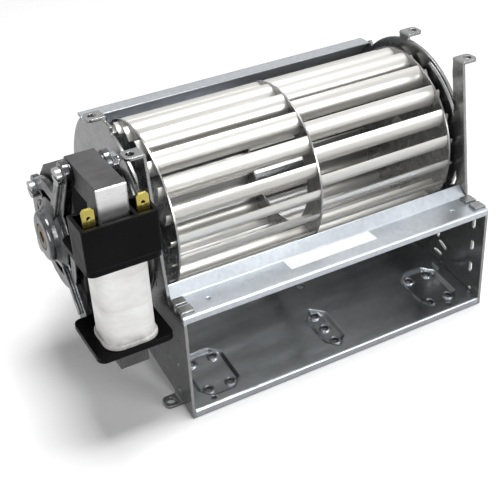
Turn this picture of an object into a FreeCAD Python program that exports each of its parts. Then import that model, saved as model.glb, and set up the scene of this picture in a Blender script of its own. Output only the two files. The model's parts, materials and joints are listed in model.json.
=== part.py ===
import FreeCAD, Part
import math
import os

import Sketcher

# Cross-flow refrigerator fan: a bladed wheel in a folded sheet housing, with a
# shaded-pole motor on its left end plate. X runs along the wheel from the motor
# to the right, Y from the outlet to the rear, Z up. The origin is on the floor,
# at the middle of the outlet's front edge.

doc = FreeCAD.newDocument("refrigerator_fan")
sheet = doc.addObject("Spreadsheet::Sheet", "Sizes")

SIZES = [
    ("sheet_gauge", "1.0", "sheet steel of the housing"),
    ("wheel_length", "106.0", "over the outer faces of the end discs"),
    ("wheel_left_gap", "7.0", "left end plate to the wheel"),
    ("wheel_right_gap", "3.0", "wheel to the right end plate"),
    ("housing_width", "=wheel_length + wheel_left_gap + wheel_right_gap + 2 * sheet_gauge", "over the end plates"),
    ("outlet_height", "40.5", "floor to the top of the shelf"),
    ("axis_depth", "47.5", "outlet front to the wheel axis"),
    ("axis_height", "54.0", "floor to the wheel axis"),
    ("fit_gap", "0.15", "clearance of a sheet tab in its slot"),
    ("wheel_diameter", "60.0", "over the end discs"),
    ("disc_gauge", "0.6", "wheel discs"),
    ("blade_gauge", "0.5", "blade strip"),
    ("blade_count", "20", "blades in each wheel segment"),
    ("blade_depth", "6.8", "radial depth of a blade"),
    ("blade_camber", "6.2", "radius of the blade's curve"),
    ("blade_tip_margin", "0.5", "disc rim outside the blade tips"),
    ("blade_stagger", "9.0", "turn of the right segment against the left one, degrees"),
    ("tab_stand_out", "1.8", "blade tabs beyond the end discs"),
    ("tab_share", "0.5", "part of the blade's depth that its tab takes"),
    ("middle_disc_bore", "42.0", "opening of the middle disc"),
    ("scroll_radius", "38.5", "inside of the rear wall"),
    ("scroll_drop", "6.2", "scroll centre below the wheel axis"),
    ("scroll_back", "0.9", "scroll centre behind the wheel axis"),
    ("scroll_top_angle", "45.0", "end of the rear wall above the level, degrees"),
    ("scroll_lip", "3.4", "level lip along the top of the rear wall"),
    ("floor_slope", "7.4", "rise of the outlet floor to the rear, degrees"),
    ("pad_width", "13.0", "recessed mounting pad"),
    ("pad_length", "18.0", "recessed mounting pad"),
    ("pad_recess", "1.0", "pad below the floor"),
    ("pad_slope", "1.4", "sloping border of a pad"),
    ("pad_hole", "2.6", "thread hole of a pad"),
    ("pad_pitch_x", "8.2", "thread holes along the wheel"),
    ("pad_pitch_y", "13.0", "thread holes to the rear"),
    ("pad_front", "13.6", "outlet front to the pad centres"),
    ("outer_pad_spacing", "91.0", "between the centres of the outer pads"),
    ("middle_pad_pitch", "6.8", "between the three holes of the middle pad"),
    ("shelf_flat", "11.2", "flat part of the shelf"),
    ("shelf_hem", "2.4", "fold along the shelf's front edge"),
    ("shelf_lip_run", "3.6", "sloping lip to the rear"),
    ("shelf_lip_rise", "3.2", "sloping lip upward"),
    ("shelf_tab_start", "1.6", "outlet front to the first folded tab"),
    ("shelf_tab_width", "3.6", "end plate tabs folded over the shelf"),
    ("shelf_tab_reach", "4.6", "length of a folded tab on the shelf"),
    ("label_length", "33.5", "blank sticker on the shelf"),
    ("label_width", "5.6", "blank sticker on the shelf"),
    ("label_gauge", "0.12", "blank sticker on the shelf"),
    ("plate_disc_radius", "33.0", "round part of the end plates"),
    ("plate_notch_radius", "30.4", "inner side of the gap behind the front strap"),
    ("plate_rim", "1.1", "rim that closes this gap on the right plate"),
    ("bead_radius", "26.5", "embossed bead of the left plate, from the axis"),
    ("bead_width", "4.4", "embossed bead"),
    ("bead_height", "1.7", "embossed bead"),
    ("bead_sweep", "128.0", "embossed bead round the front, degrees"),
    ("strut_width", "5.0", "straps that carry the top tabs"),
    ("left_strut_width", "7.4", "front strap of the left plate"),
    ("strut_lean", "7.0", "front strap's top behind its foot"),
    ("front_tab_depth", "20.5", "front top tab hole"),
    ("rear_tab_depth", "51.0", "rear top tab hole"),
    ("top_tab_height", "89.0", "top of the upper tabs"),
    ("tab_reach", "5.4", "tabs beyond the end plates"),
    ("tab_width", "5.6", "tabs along the plate"),
    ("tab_hole", "2.8", "fixing hole of a tab"),
    ("foot_depth", "11.0", "front foot tab hole"),
    ("rear_foot_depth", "62.0", "rear foot tab hole"),
    ("rear_leg", "14.0", "height of the rear legs"),
    ("hub_opening", "14.5", "hole of the left end plate round the shaft"),
    ("axle_diameter", "4.0", "motor shaft and stub axle"),
    ("bush_clearance", "0.02", "radial running clearance of the shaft"),
    ("bush_diameter", "9.0", "sintered bushes"),
    ("bush_length", "4.2", "sintered bushes"),
    ("grommet_diameter", "15.0", "rubber ring in the right plate"),
    ("grommet_lip", "1.8", "rubber ring's lips beyond its hole"),
    ("motor_offset", "14.8", "left end plate to the middle of the motor"),
    ("stack_thickness", "9.4", "lamination stack"),
    ("stack_top", "88.5", "floor to the top of the stack"),
    ("stack_bottom", "25.0", "floor to the underside of the stack"),
    ("stack_front", "6.5", "outlet front to the front of the coil limb"),
    ("limb_depth", "9.0", "coil limb"),
    ("arm_height", "8.0", "arms of the stator above and below the coil"),
    ("arm_flat", "24.5", "level part of the arms, limb included"),
    ("pole_front", "30.6", "outlet front to the pole body"),
    ("pole_rear", "68.0", "outlet front to the rear of the stator"),
    ("pole_height", "41.0", "pole body"),
    ("pole_cut", "12.0", "slanted rear corners of the pole body"),
    ("rotor_diameter", "25.6", "motor rotor"),
    ("air_gap", "0.35", "rotor to stator bore"),
    ("rotor_overhang", "0.3", "end rings beyond the stack"),
    ("shading_bar", "1.6", "copper of the shading rings"),
    ("washer_gauge", "0.3", "thrust washers"),
    ("screw_size", "3.0", "motor screws"),
    ("front_screw_depth", "27.5", "outlet front to the front motor screws"),
    ("rear_screw_depth", "60.5", "outlet front to the rear motor screws"),
    ("rear_screw_spacing", "21.0", "between the rear motor screws"),
    ("plate_screw_spacing", "=bracket_ring - bracket_ring_width", "between the screws that hold the motor on its plate"),
    ("bracket_gauge", "2.0", "die-cast bearing brackets"),
    ("bracket_standoff", "0.8", "bracket arms clear of the stack"),
    ("bracket_hub", "17.0", "bearing hub"),
    ("bracket_ring", "38.0", "ring round the hub"),
    ("bracket_ring_width", "4.4", "ring round the hub"),
    ("bracket_hub_rise", "4.0", "hub beyond the bracket's arms"),
    ("bobbin_width", "23.6", "terminal box along the wheel"),
    ("flange_width", "25.0", "lower flange along the wheel"),
    ("flange_front", "1.8", "outlet front to the lower flange"),
    ("flange_depth", "23.0", "lower flange to the rear"),
    ("flange_gauge", "2.0", "flanges"),
    ("flange_corner", "2.6", "lower flange's corner radius"),
    ("bobbin_wall", "1.2", "moulded walls"),
    ("bobbin_play", "0.1", "bobbin on the stack"),
    ("box_front", "2.0", "outlet front to the terminal box"),
    ("box_depth", "11.4", "terminal box to the rear"),
    ("box_top", "79.5", "floor to the rim of the terminal box"),
    ("box_height", "13.5", "terminal box"),
    ("coil_width", "16.4", "taped winding along the wheel"),
    ("coil_depth", "15.4", "taped winding to the rear"),
    ("coil_flare", "0.7", "spread of the tape on the lower flange"),
    ("coil_corner", "4.6", "taped winding's corner radius"),
    ("terminal_width", "3.8", "spade terminal"),
    ("terminal_gauge", "0.8", "spade terminal"),
    ("terminal_rise", "5.2", "spade terminal above the box"),
    ("hub_diameter", "13.0", "drive hub of the wheel"),
    ("hub_length", "5.6", "drive hub of the wheel"),
]
for row, (alias, number, note) in enumerate(SIZES, start=1):
    sheet.setAlias("B%d" % row, alias)
for row, (alias, number, note) in enumerate(SIZES, start=1):
    sheet.set("A%d" % row, alias)
    sheet.set("B%d" % row, number)
    sheet.set("C%d" % row, note)
doc.recompute()

size = {alias: float(sheet.get(alias)) for alias, number, note in SIZES}

# Places that follow from the sizes above.
half_width = size["housing_width"] / 2
gauge = size["sheet_gauge"]
inner_half = half_width - gauge
axis_y = size["axis_depth"]
axis_z = size["axis_height"]
wheel_start = -inner_half + size["wheel_left_gap"]
wheel_end = wheel_start + size["wheel_length"]
wheel_middle = (wheel_start + wheel_end) / 2
segment_length = (size["wheel_length"] - 3 * size["disc_gauge"]) / 2
motor_x = -half_width - size["motor_offset"]
stack_left = motor_x - size["stack_thickness"] / 2
stack_right = motor_x + size["stack_thickness"] / 2
outer_face = stack_left - size["bracket_standoff"] - size["bracket_gauge"]
inner_face = stack_right + size["bracket_standoff"] + size["bracket_gauge"]
slope = math.radians(size["floor_slope"])
scroll_y = axis_y + size["scroll_back"]
scroll_z = axis_z - size["scroll_drop"]
floor_front = scroll_z - (size["scroll_radius"] + math.sin(slope) * scroll_y) / math.cos(slope)
limb_y = size["stack_front"] + size["limb_depth"] / 2
flange_low = size["stack_bottom"] + size["arm_height"] + size["bobbin_play"]
flange_top = flange_low + size["flange_gauge"]
box_low = size["box_top"] - size["box_height"]

finished = []


def new_body(label, several=False):
    """A sub-part; several allows separate solids in one body."""
    body = doc.addObject("PartDesign::Body", label)
    body.Label = label
    body.AllowCompound = several
    finished.append(body)
    return body


def place_sketch(body, name, role, across="0", up="0", out="0", tilt=0.0):
    """A sketch on an origin plane of its body, moved by expressions."""
    sketch = body.newObject("Sketcher::SketchObject", name)
    plane = [item for item in body.Origin.OriginFeatures if item.Role == role][0]
    sketch.AttachmentSupport = [(plane, "")]
    sketch.MapMode = "FlatFace"
    if tilt:
        turned = FreeCAD.Rotation(FreeCAD.Vector(1, 0, 0), tilt)
        sketch.AttachmentOffset = FreeCAD.Placement(FreeCAD.Vector(), turned)
    for field, text in (("x", across), ("y", up), ("z", out)):
        if text != "0":
            sketch.setExpression("AttachmentOffset.Base." + field, text)
    return sketch


def side_sketch(body, name, out):
    """A sketch seen along the wheel: its axes are Y and Z."""
    return place_sketch(body, name, "YZ_Plane", out=out)


def axis_sketch(body, name, out):
    """A side sketch whose origin is on the wheel axis."""
    return place_sketch(body, name, "YZ_Plane", "Sizes.axis_depth", "Sizes.axis_height", out)


def turned_sketch(body, name):
    """A sketch for turned pieces: its first axis is the wheel axis."""
    return place_sketch(body, name, "XY_Plane", "0", "Sizes.axis_depth", "Sizes.axis_height")


def outline(sketch, start, *steps):
    """A closed outline of lines and, for a pair of points, arcs."""
    here = FreeCAD.Vector(start[0], start[1], 0)
    first = here
    for step in steps:
        if len(step) == 2 and isinstance(step[0], tuple):
            middle = FreeCAD.Vector(step[0][0], step[0][1], 0)
            there = FreeCAD.Vector(step[1][0], step[1][1], 0)
            sketch.addGeometry(Part.Arc(here, middle, there), False)
        else:
            there = FreeCAD.Vector(step[0], step[1], 0)
            sketch.addGeometry(Part.LineSegment(here, there), False)
        here = there
    if here.distanceToPoint(first) > 1e-6:
        sketch.addGeometry(Part.LineSegment(here, first), False)


def box_outline(sketch, low, high):
    outline(sketch, low, (high[0], low[1]), high, (low[0], high[1]))


def circle(sketch, centre, diameter):
    """A circle whose diameter is an expression of the sizes."""
    number = sketch.addGeometry(
        Part.Circle(FreeCAD.Vector(centre[0], centre[1], 0), FreeCAD.Vector(0, 0, 1), 1.0), False)
    mark = sketch.addConstraint(Sketcher.Constraint("Diameter", number, 2.0))
    sketch.setExpression("Constraints[%d]" % mark, diameter)


def pad(body, sketch, name, length, backward=False):
    feature = body.newObject("PartDesign::Pad", name)
    feature.Profile = sketch
    feature.setExpression("Length", length)
    feature.Reversed = backward
    sketch.Visibility = False
    return feature


def pocket(body, sketch, name, length, forward=False):
    """A cut along the sketch's normal if forward, else against it."""
    feature = body.newObject("PartDesign::Pocket", name)
    feature.Profile = sketch
    feature.setExpression("Length", length)
    feature.Reversed = forward
    sketch.Visibility = False
    return feature


def revolve(body, sketch, name):
    feature = body.newObject("PartDesign::Revolution", name)
    feature.Profile = sketch
    feature.ReferenceAxis = (sketch, ["H_Axis"])
    feature.Angle = 360
    sketch.Visibility = False
    return feature


def circular_pattern(body, features, sketch, count, name):
    feature = body.newObject("PartDesign::PolarPattern", name)
    feature.Originals = features
    feature.Axis = (sketch, ["N_Axis"])
    feature.Angle = 360
    feature.Occurrences = count
    body.Tip = feature
    return feature


def round_edges(body, name, radius, wanted):
    """Rounds the edges for which wanted is true."""
    doc.recompute()
    base = body.Tip
    picked = ["Edge%d" % n for n, edge in enumerate(base.Shape.Edges, start=1) if wanted(edge)]
    feature = body.newObject("PartDesign::Fillet", name)
    feature.Base = (base, picked)
    feature.setExpression("Radius", radius)
    base.Visibility = False


def on_circle(centre, radius, degrees):
    turn = math.radians(degrees)
    return (centre[0] + radius * math.cos(turn), centre[1] + radius * math.sin(turn))


AXIS = (axis_y, axis_z)
SCROLL = (scroll_y, scroll_z)
FLOOR_ANGLE = -90 + size["floor_slope"]
THROUGH = "4 * Sizes.sheet_gauge"
shelf_tabs = [size["shelf_tab_start"], size["shelf_tab_start"] + size["shelf_tab_width"] + 1.4 * gauge]


def scroll_end_angle(radius):
    """Where the ray from the wheel axis at the top angle meets the rear wall."""
    turn = math.radians(size["scroll_top_angle"])
    back = size["scroll_back"]
    drop = size["scroll_drop"]
    along = -(-back * math.cos(turn) + drop * math.sin(turn))
    reach = along + math.sqrt(along ** 2 - back ** 2 - drop ** 2 + radius ** 2)
    return math.degrees(math.atan2(reach * math.sin(turn) + drop, reach * math.cos(turn) - back))


def end_plate(label, side):
    """An end plate: outlet side, round wall, straps, legs and folded tabs."""
    body = new_body(label)
    inner = "Sizes.housing_width / 2 - Sizes.sheet_gauge"
    low = inner if side > 0 else "-Sizes.housing_width / 2"
    outer_radius = size["scroll_radius"] + gauge
    end_angle = scroll_end_angle(size["scroll_radius"])
    shelf_under = size["outlet_height"] - gauge
    hem_under = size["outlet_height"] - size["shelf_hem"] - size["fit_gap"]
    hem_back = gauge + size["fit_gap"]

    wall = side_sketch(body, "casing_side", low)
    rear_middle = on_circle(SCROLL, outer_radius, (FLOOR_ANGLE + end_angle) / 2)
    outline(wall, (0, 0), on_circle(SCROLL, outer_radius, FLOOR_ANGLE),
            (rear_middle, on_circle(SCROLL, outer_radius, end_angle)), AXIS,
            (size["shelf_flat"], shelf_under), (hem_back, shelf_under),
            (hem_back, hem_under), (0, hem_under))
    pad(body, wall, "casing_side_pad", "Sizes.sheet_gauge")
    disc = axis_sketch(body, "round_wall", low)
    circle(disc, (0, 0), "2 * Sizes.plate_disc_radius")
    pad(body, disc, "round_wall_pad", "Sizes.sheet_gauge")
    gap_behind_strap(body, low, closed=side > 0)

    strut = size["strut_width" if side > 0 else "left_strut_width"]
    half_strut = size["strut_width"] / 2
    half_tab = size["tab_width"] / 2
    front_y = size["front_tab_depth"]
    lean = front_y - size["strut_lean"]
    rear_y = size["rear_tab_depth"]
    top = size["top_tab_height"]
    straps = side_sketch(body, "straps", low)
    outline(straps, (lean - half_strut, shelf_under - gauge), (lean + strut - half_strut, shelf_under - gauge),
            (front_y + strut - half_strut, top - strut), (front_y + half_strut, top), (front_y - half_strut, top))
    pad(body, straps, "front_strap_pad", "Sizes.sheet_gauge")
    rear_strap = side_sketch(body, "rear_strap", low)
    flare = size["strut_width"]
    foot_z = axis_z + size["plate_disc_radius"] * 0.82
    outline(rear_strap, (rear_y - half_strut - flare, foot_z), (rear_y + half_strut + flare, foot_z),
            (rear_y + half_strut, top - flare * 0.6), (rear_y + half_strut, top), (rear_y - half_strut, top),
            (rear_y - half_strut, top - flare * 0.6))
    pad(body, rear_strap, "rear_strap_pad", "Sizes.sheet_gauge")
    for name, depth, height in (("foot", size["foot_depth"], size["tab_width"]),
                                ("rear_foot", size["rear_foot_depth"], size["rear_leg"])):
        leg = side_sketch(body, name + "_leg", low)
        box_outline(leg, (depth - half_tab, 0), (depth + half_tab, height))
        pad(body, leg, name + "_leg_pad", "Sizes.sheet_gauge")

    near = side * inner_half
    far = side * (half_width + size["tab_reach"])
    corner = size["tab_width"] * 0.3
    nick = corner * (1 - math.sqrt(0.5))
    for name, depth, level in (("front", "front_tab_depth", "Sizes.top_tab_height"),
                               ("rear", "rear_tab_depth", "Sizes.top_tab_height"),
                               ("foot", "foot_depth", "Sizes.sheet_gauge"),
                               ("rear_foot", "rear_foot_depth", "Sizes.sheet_gauge")):
        tab = place_sketch(body, name + "_tab", "XY_Plane", "0", "Sizes." + depth, level)
        outline(tab, (near, -half_tab), (far - side * corner, -half_tab),
                ((far - side * nick, -half_tab + nick), (far, -half_tab + corner)), (far, half_tab - corner),
                ((far - side * nick, half_tab - nick), (far - side * corner, half_tab)), (near, half_tab))
        circle(tab, (side * (half_width + size["tab_reach"] * 0.55), 0), "Sizes.tab_hole")
        pad(body, tab, name + "_tab_pad", "Sizes.sheet_gauge", backward=True)

    # Two tabs pass through the shelf and are folded flat onto it.
    for name, begin in (("first", shelf_tabs[0]), ("second", shelf_tabs[1])):
        end = begin + size["shelf_tab_width"]
        rise = side_sketch(body, name + "_shelf_tab", low)
        box_outline(rise, (begin, shelf_under - gauge), (end, size["outlet_height"] + gauge))
        pad(body, rise, name + "_shelf_tab_pad", "Sizes.sheet_gauge")
        fold = place_sketch(body, name + "_fold", "XY_Plane", out="Sizes.outlet_height")
        reach = sorted((side * half_width, side * (half_width - size["shelf_tab_reach"])))
        box_outline(fold, (reach[0], begin), (reach[1], end))
        pad(body, fold, name + "_fold_pad", "Sizes.sheet_gauge")

    # The outer corners of the bends are round.
    def bend(edge):
        box = edge.BoundBox
        flat = box.XLength < 1e-6 and box.ZLength < 1e-6
        at_tab = abs(box.XMin - near) < 1e-6 and (abs(box.ZMin - top) < 1e-6 or abs(box.ZMin) < 1e-6)
        fold_z = size["outlet_height"] + gauge
        at_fold = abs(box.XMin - side * half_width) < 1e-6 and abs(box.ZMin - fold_z) < 1e-6
        return flat and (at_tab or at_fold)

    round_edges(body, "bends", "0.7 * Sizes.sheet_gauge", bend)
    return body, low


def gap_behind_strap(body, low, closed):
    """The gap between the front strap and the round wall, closed by a rim or open at the top."""
    notch = size["plate_notch_radius"]
    reach = size["plate_disc_radius"] - size["plate_rim"] if closed else size["plate_disc_radius"] + gauge
    first, last = (112, 155) if closed else (96, 158)
    between = (first + last) / 2
    gap = side_sketch(body, "gap_behind_strap", low)
    outline(gap, on_circle(AXIS, notch, first), (on_circle(AXIS, notch, between), on_circle(AXIS, notch, last)),
            on_circle(AXIS, reach, last - 3), (on_circle(AXIS, reach, between), on_circle(AXIS, reach, first)))
    outline(gap, on_circle(AXIS, notch, 191), (on_circle(AXIS, notch, 198), on_circle(AXIS, notch, 205)),
            on_circle(AXIS, size["plate_disc_radius"] - size["plate_rim"], 202),
            (on_circle(AXIS, size["plate_disc_radius"] - size["plate_rim"], 198),
             on_circle(AXIS, size["plate_disc_radius"] - size["plate_rim"], 194)))
    pocket(body, gap, "gap_behind_strap_cut", THROUGH, forward=True)


def spot(depth_share, height_share):
    """A place on the side of the outlet, by shares of the outlet's depth and height."""
    return (depth_share * axis_y, height_share * size["outlet_height"])


def slot_outline(sketch, low_end, high_end, width):
    """A straight slot with round ends between two points."""
    a = FreeCAD.Vector(low_end[0], low_end[1], 0)
    b = FreeCAD.Vector(high_end[0], high_end[1], 0)
    along = (b - a).normalize() * (width / 2)
    side = FreeCAD.Vector(-along.y, along.x, 0)
    points = [a + side, a - along, a - side, b - side, b + along, b + side]
    flat = [(p.x, p.y) for p in points]
    outline(sketch, flat[0], (flat[1], flat[2]), flat[3], (flat[4], flat[5]))


def make_end_plates():
    left, low = end_plate("left_end_plate", -1)
    holes = axis_sketch(left, "shaft_opening", low)
    circle(holes, (0, 0), "Sizes.hub_opening")
    for way in (1, -1):
        circle(holes, (0, way * size["plate_screw_spacing"] / 2), "Sizes.screw_size + 0.3")
    pocket(left, holes, "shaft_opening_cut", THROUGH, forward=True)
    small = side_sketch(left, "left_outlet_holes", low)
    slot_outline(small, spot(0.31, 0.65), spot(0.31, 0.73), 1.4 * gauge)
    for place in (spot(0.137, 0.70), spot(0.168, 0.425), spot(0.194, 0.143)):
        circle(small, place, "1.5 * Sizes.sheet_gauge")
    circle(small, spot(0.516, 0.373), "2.6 * Sizes.sheet_gauge")
    pocket(left, small, "left_outlet_holes_cut", THROUGH, forward=True)

    # A bead round the front of the shaft opening, raised outward and hollow inside.
    half_bead = size["bead_width"] / 2
    ring = size["bead_radius"]
    for name, face, half, rise in (("bead", -half_width, half_bead, size["bead_height"]),
                                   ("bead_hollow", -inner_half, half_bead - gauge * 0.7, size["bead_height"])):
        section = turned_sketch(left, name + "_section")
        outline(section, (face, -ring - half), ((face - rise, -ring), (face, -ring + half)))
        kind = "PartDesign::Revolution" if name == "bead" else "PartDesign::Groove"
        turned = left.newObject(kind, name)
        turned.Profile = section
        turned.ReferenceAxis = (section, ["H_Axis"])
        turned.Midplane = True
        turned.setExpression("Angle", "Sizes.bead_sweep")

    right, low = end_plate("right_end_plate", 1)
    seat = axis_sketch(right, "bearing_seat", low)
    circle(seat, (0, 0), "Sizes.grommet_diameter")
    pocket(right, seat, "bearing_seat_cut", THROUGH, forward=True)
    small = side_sketch(right, "right_outlet_holes", low)
    for height in (0.33, 0.56, 0.79):
        slot_outline(small, spot(0.118, height - 0.035), spot(0.118, height + 0.035), 1.5 * gauge)
    circle(small, spot(0.105, 0.11), "1.5 * Sizes.sheet_gauge")
    circle(small, spot(0.335, 0.70), "2 * Sizes.sheet_gauge")
    slot_outline(small, spot(0.53, 0.50), spot(0.52, 0.42), 1.6 * gauge)
    slot_outline(small, spot(0.49, 0.365), spot(0.43, 0.33), 1.6 * gauge)
    slot_outline(small, spot(0.545, 0.245), spot(0.48, 0.235), 1.4 * gauge)
    pocket(right, small, "right_outlet_holes_cut", THROUGH, forward=True)


def make_scroll():
    """One sheet: front lip, sloping floor with recessed pads, rear wall."""
    body = new_body("scroll_sheet")
    end_angle = scroll_end_angle(size["scroll_radius"])
    radius = size["scroll_radius"]
    outer = radius + gauge
    low_edge = floor_front - gauge / math.cos(slope)
    bend_inside = on_circle(SCROLL, radius, (FLOOR_ANGLE + end_angle) / 2)
    bend_outside = on_circle(SCROLL, outer, (FLOOR_ANGLE + end_angle) / 2)
    wall_end = on_circle(SCROLL, radius, end_angle)
    reach = size["scroll_lip"]
    lip_root = on_circle(SCROLL, outer, math.degrees(math.asin((wall_end[1] - gauge - SCROLL[1]) / outer)))
    profile = side_sketch(body, "profile", "-Sizes.housing_width / 2 + Sizes.sheet_gauge")
    outline(profile, (0, 0), (gauge, 0), (gauge, low_edge + gauge * math.tan(slope)),
            on_circle(SCROLL, outer, FLOOR_ANGLE), (bend_outside, lip_root), (lip_root[0] + reach, lip_root[1]),
            (lip_root[0] + reach, lip_root[1] + gauge), wall_end, (bend_inside, on_circle(SCROLL, radius, FLOOR_ANGLE)),
            (gauge * 0.6, floor_front + gauge * 0.6 * math.tan(slope)),
            ((gauge * 0.18, floor_front - gauge * 0.18), (0, floor_front - gauge * 0.6)))
    pad(body, profile, "profile_pad", "Sizes.housing_width - 2 * Sizes.sheet_gauge")

    # Pads are drawn in the floor's own plane, whose local origin is its front edge.
    def floor_sketch(name, lift):
        sketch = place_sketch(body, name, "XY_Plane", tilt=size["floor_slope"])
        height = floor_front + lift / math.cos(slope)
        offset = sketch.AttachmentOffset
        offset.Base = FreeCAD.Vector(0, 0, height)
        sketch.AttachmentOffset = offset
        return sketch

    along = size["pad_front"] / math.cos(slope)
    half_w = size["pad_width"] / 2
    half_l = size["pad_length"] / 2
    spots = [(-size["outer_pad_spacing"] / 2, half_w), (0, half_w * 0.46), (size["outer_pad_spacing"] / 2, half_w)]

    def pad_outline(sketch, centre, width, grow):
        corner = size["pad_width"] * 0.24 + grow * 0.6
        x0, x1 = centre - width - grow, centre + width + grow
        y0, y1 = along - half_l - grow, along + half_l + grow
        outline(sketch, (x0 + corner, y0), (x1 - corner, y0), (x1, y0 + corner), (x1, y1 - corner),
                (x1 - corner, y1), (x0 + corner, y1), (x0, y1 - corner), (x0, y0 + corner))

    def bordered(kind, name, level, margin, centre, width):
        """A pad's flat with its sloping border, added under the floor or cut into it."""
        shape = body.newObject("PartDesign::" + kind, name)
        mouth = floor_sketch(name + "_mouth", level)
        pad_outline(mouth, centre, width, margin + size["pad_slope"])
        bottom = floor_sketch(name + "_bottom", level - size["pad_recess"])
        pad_outline(bottom, centre, width, margin)
        shape.Profile = mouth
        shape.Sections = [bottom]
        shape.Ruled = True

    for number, (centre, width) in enumerate(spots, start=1):
        bordered("AdditiveLoft", "pad_%d_underside" % number, -gauge, gauge * 0.6, centre, width)
    for number, (centre, width) in enumerate(spots, start=1):
        bordered("SubtractiveLoft", "pad_%d_recess" % number, 0, 0, centre, width)
    collars = floor_sketch("thread_collars", -size["pad_recess"])
    holes = floor_sketch("thread_holes", gauge)
    places = []
    for centre in (spots[0][0], spots[2][0]):
        for side in (-1, 1):
            for way in (-1, 1):
                places.append((centre + side * size["pad_pitch_x"] / 2, along + way * size["pad_pitch_y"] / 2))
    for step in (-1, 0, 1):
        places.append((0, along + step * size["middle_pad_pitch"]))
    for spot in places:
        circle(collars, spot, "Sizes.pad_hole + Sizes.sheet_gauge * 1.2")
        circle(holes, spot, "Sizes.pad_hole")
    pad(body, collars, "thread_collars_pad", "Sizes.sheet_gauge * 0.6")
    pocket(body, holes, "thread_holes_cut", "6 * Sizes.sheet_gauge")
    spare = floor_sketch("spare_holes", gauge)
    for share in (-0.86, 0.80):
        circle(spare, (share * inner_half, 2.6 * gauge), "Sizes.sheet_gauge * 1.6")
    circle(spare, (0.06 * inner_half, 0.76 * axis_y), "Sizes.sheet_gauge * 3")
    pocket(body, spare, "spare_holes_cut", "4 * Sizes.sheet_gauge")


def make_shelf():
    """The stabiliser shelf above the outlet, with its hem and sloping lip."""
    body = new_body("stabiliser_shelf")
    top = size["outlet_height"]
    flat = size["shelf_flat"]
    run = size["shelf_lip_run"]
    rise = size["shelf_lip_rise"]
    tilt = math.atan2(rise, run)
    corner = gauge * math.tan(tilt / 2)
    profile = side_sketch(body, "profile", "-Sizes.housing_width / 2")
    outline(profile, (0, top - size["shelf_hem"]), (gauge, top - size["shelf_hem"]), (gauge, top - gauge),
            (flat + corner, top - gauge),
            (flat + run + gauge * math.sin(tilt), top + rise - gauge * math.cos(tilt)),
            (flat + run, top + rise), (flat, top), (gauge * 0.6, top),
            ((gauge * 0.18, top - gauge * 0.18), (0, top - gauge * 0.6)))
    pad(body, profile, "profile_pad", "Sizes.housing_width")
    slots = place_sketch(body, "tab_slots", "XY_Plane", out="Sizes.outlet_height + Sizes.sheet_gauge")
    play = size["fit_gap"]
    for side in (-1, 1):
        edge = sorted((side * (half_width + gauge), side * (inner_half - play)))
        for begin in shelf_tabs:
            box_outline(slots, (edge[0], begin - play), (edge[1], begin + size["shelf_tab_width"] + play))
        circle(slots, (side * 0.82 * inner_half, 0.5 * flat), "Sizes.sheet_gauge * 1.6")
    pocket(body, slots, "tab_slots_cut", THROUGH)
    ends = place_sketch(body, "lip_ends", "XY_Plane", out="Sizes.outlet_height + 2 * Sizes.shelf_lip_rise")
    strap_front = size["front_tab_depth"] - size["strut_lean"] - size["strut_width"] / 2
    for side in (-1, 1):
        edge = sorted((side * (half_width + gauge), side * (inner_half - play)))
        box_outline(ends, (edge[0], strap_front - 2 * play), (edge[1], flat + run + gauge))
    pocket(body, ends, "lip_ends_cut", "4 * Sizes.shelf_lip_rise")

    label = new_body("blank_sticker")
    paper = place_sketch(label, "paper", "XY_Plane", out="Sizes.outlet_height")
    middle = -0.015 * inner_half
    low = 0.46 * flat
    box_outline(paper, (middle - size["label_length"] / 2, low),
                (middle + size["label_length"] / 2, low + size["label_width"]))
    pad(label, paper, "paper_pad", "Sizes.label_gauge")


def blade_section(sketch, start, stop, thickness, turn):
    """A curved band between two shares of the blade's depth."""
    tip = size["wheel_diameter"] / 2 - size["blade_tip_margin"]
    root = tip - size["blade_depth"]
    camber = size["blade_camber"]
    # The band's centre of curvature lies ahead of the blade, in the sense of rotation.
    outer_end = FreeCAD.Vector(tip * math.cos(math.radians(-9)), tip * math.sin(math.radians(-9)), 0)
    inner_end = FreeCAD.Vector(root * math.cos(math.radians(6)), root * math.sin(math.radians(6)), 0)
    chord = outer_end - inner_end
    middle = (outer_end + inner_end) * 0.5
    normal = FreeCAD.Vector(-chord.y, chord.x, 0).normalize()
    centre = middle - normal * math.sqrt(max(camber ** 2 - chord.Length ** 2 / 4, 0.01))
    first = math.atan2(inner_end.y - centre.y, inner_end.x - centre.x)
    last = math.atan2(outer_end.y - centre.y, outer_end.x - centre.x)
    low = first + (last - first) * start
    high = first + (last - first) * stop
    turned = FreeCAD.Rotation(FreeCAD.Vector(0, 0, 1), turn)

    def point(radius, angle):
        spot = centre + FreeCAD.Vector(radius * math.cos(angle), radius * math.sin(angle), 0)
        spot = turned.multVec(spot)
        return (spot.x, spot.y)

    thick = thickness / 2
    between = (low + high) / 2
    outline(sketch, point(camber + thick, low), (point(camber + thick, between), point(camber + thick, high)),
            point(camber - thick, high), (point(camber - thick, between), point(camber - thick, low)))


def make_blades(label, start, turn, tab_side):
    body = new_body(label, several=True)
    section = axis_sketch(body, "section", start)
    blade_section(section, 0, 1, size["blade_gauge"], turn)
    blade = pad(body, section, "blade", "(Sizes.wheel_length - 3 * Sizes.disc_gauge) / 2")
    low = (1 - size["tab_share"]) / 2
    if tab_side > 0:
        root = start + " + (Sizes.wheel_length - 3 * Sizes.disc_gauge) / 2"
    else:
        root = start + " - Sizes.disc_gauge - Sizes.tab_stand_out"
    tab_section = axis_sketch(body, "tab_section", root)
    blade_section(tab_section, low, 1 - low, size["blade_gauge"], turn)
    tab = pad(body, tab_section, "tab", "Sizes.disc_gauge + Sizes.tab_stand_out")
    circular_pattern(body, [blade, tab], section, int(size["blade_count"]), "blade_ring")


WHEEL_START = "-Sizes.housing_width / 2 + Sizes.sheet_gauge + Sizes.wheel_left_gap"


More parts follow.
